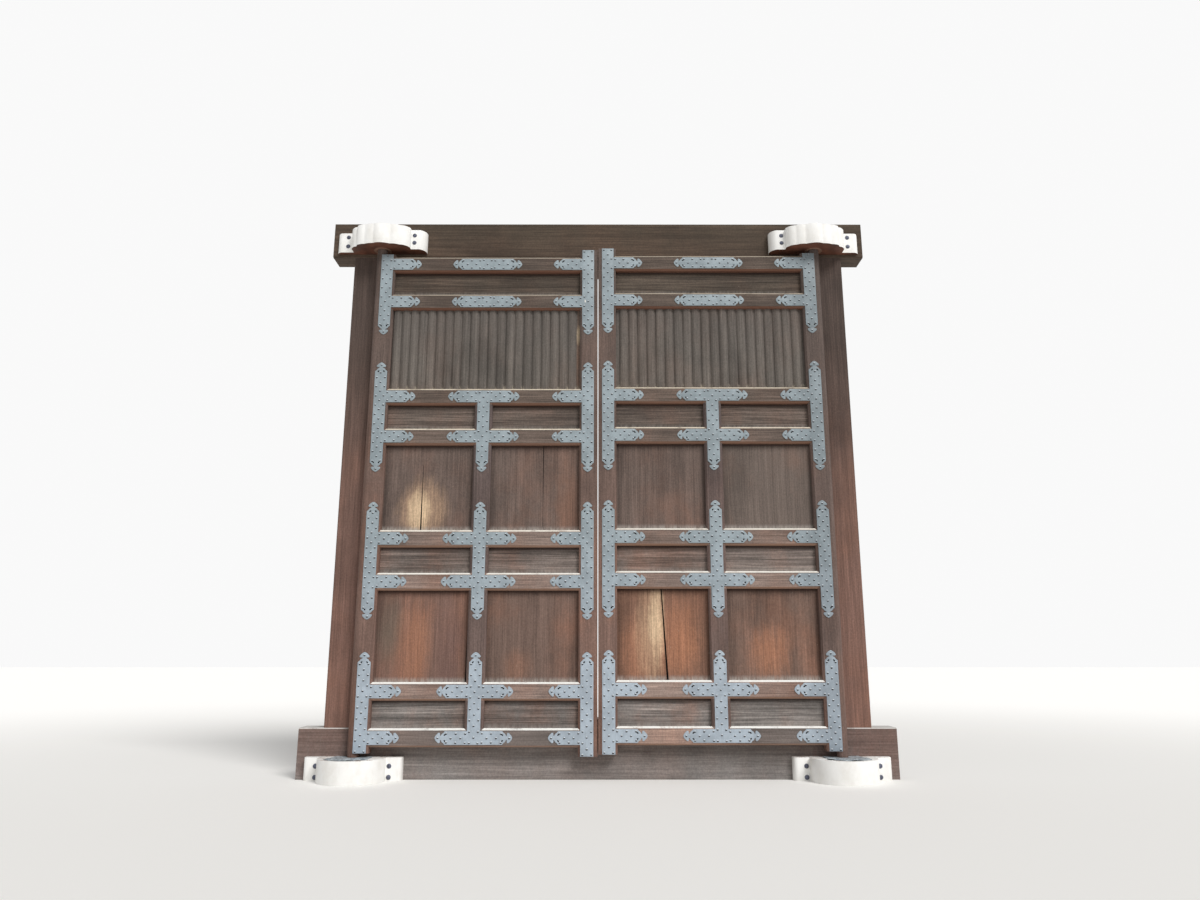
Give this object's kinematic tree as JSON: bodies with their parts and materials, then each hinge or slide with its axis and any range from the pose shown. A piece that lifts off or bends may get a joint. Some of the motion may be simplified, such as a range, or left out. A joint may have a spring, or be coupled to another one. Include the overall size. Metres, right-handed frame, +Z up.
{
  "type": "panelled temple door",
  "caption": "Pair of tall panelled door leaves with strap plates, turning on wooden pivots in carved sockets on a head rail and a sill rail, with jambs, lintel and threshold.",
  "frame": {"origin": "middle of the sill rail's underside", "axes": "+X to the right seen from the front, +Y into the building so that the front faces -Y, +Z up"},
  "size_m": [2.8, 0.33, 2.799],
  "materials": {
    "frame_wood": "weathered",
    "leaf_wood": "weathered",
    "panel_wood": "weathered",
    "socket_paint": "matte paint",
    "strap_metal": "dull",
    "sheet_metal": "dull",
    "nail_iron": "dull"
  },
  "bodies": {
    "frame": {"head_rail": "frame_wood", "sill_rail": "frame_wood", "left_jamb": "frame_wood", "right_jamb": "frame_wood", "inner_lintel": "frame_wood", "threshold": "frame_wood", "left_upper_socket": "socket_paint", "left_lower_socket": "socket_paint", "right_upper_socket": "socket_paint", "right_lower_socket": "socket_paint", "left_socket_plate": "sheet_metal", "right_socket_plate": "sheet_metal", "socket_nails": "nail_iron"},
    "left_leaf": {"left_hinge_stile": "leaf_wood", "left_meeting_stile": "leaf_wood", "left_muntin": "leaf_wood", "left_top_rail": "leaf_wood", "left_rail_2": "leaf_wood", "left_rail_3": "leaf_wood", "left_rail_4": "leaf_wood", "left_rail_5": "leaf_wood", "left_rail_6": "leaf_wood", "left_rail_7": "leaf_wood", "left_bottom_rail": "leaf_wood", "left_top_panel": "panel_wood", "left_ribbed_panel": "panel_wood", "left_upper_outer_panel": "panel_wood", "left_upper_inner_panel": "panel_wood", "left_lower_outer_panel": "panel_wood", "left_lower_inner_panel": "panel_wood", "left_narrow_panels_1": "panel_wood", "left_narrow_panels_2": "panel_wood", "left_narrow_panels_3": "panel_wood", "left_hinge_straps": "strap_metal", "left_meeting_straps": "strap_metal", "left_centre_straps": "strap_metal"},
    "right_leaf": {"right_hinge_stile": "leaf_wood", "right_meeting_stile": "leaf_wood", "right_muntin": "leaf_wood", "right_top_rail": "leaf_wood", "right_rail_2": "leaf_wood", "right_rail_3": "leaf_wood", "right_rail_4": "leaf_wood", "right_rail_5": "leaf_wood", "right_rail_6": "leaf_wood", "right_rail_7": "leaf_wood", "right_bottom_rail": "leaf_wood", "right_top_panel": "panel_wood", "right_ribbed_panel": "panel_wood", "right_upper_outer_panel": "panel_wood", "right_upper_inner_panel": "panel_wood", "right_lower_outer_panel": "panel_wood", "right_lower_inner_panel": "panel_wood", "right_narrow_panels_1": "panel_wood", "right_narrow_panels_2": "panel_wood", "right_narrow_panels_3": "panel_wood", "right_hinge_straps": "strap_metal", "right_meeting_straps": "strap_metal", "right_centre_straps": "strap_metal"}
  },
  "joints": [
    {"name": "left_leaf_hinge", "type": "hinge", "parent": "frame", "child": "left_leaf", "pos_m": [-1.128, -0.101, 1.3], "axis": [0, 0, -1], "range_deg": [0, 165]},
    {"name": "right_leaf_hinge", "type": "hinge", "parent": "frame", "child": "right_leaf", "pos_m": [1.128, -0.101, 1.3], "axis": [0, 0, 1], "range_deg": [0, 165]}
  ]
}
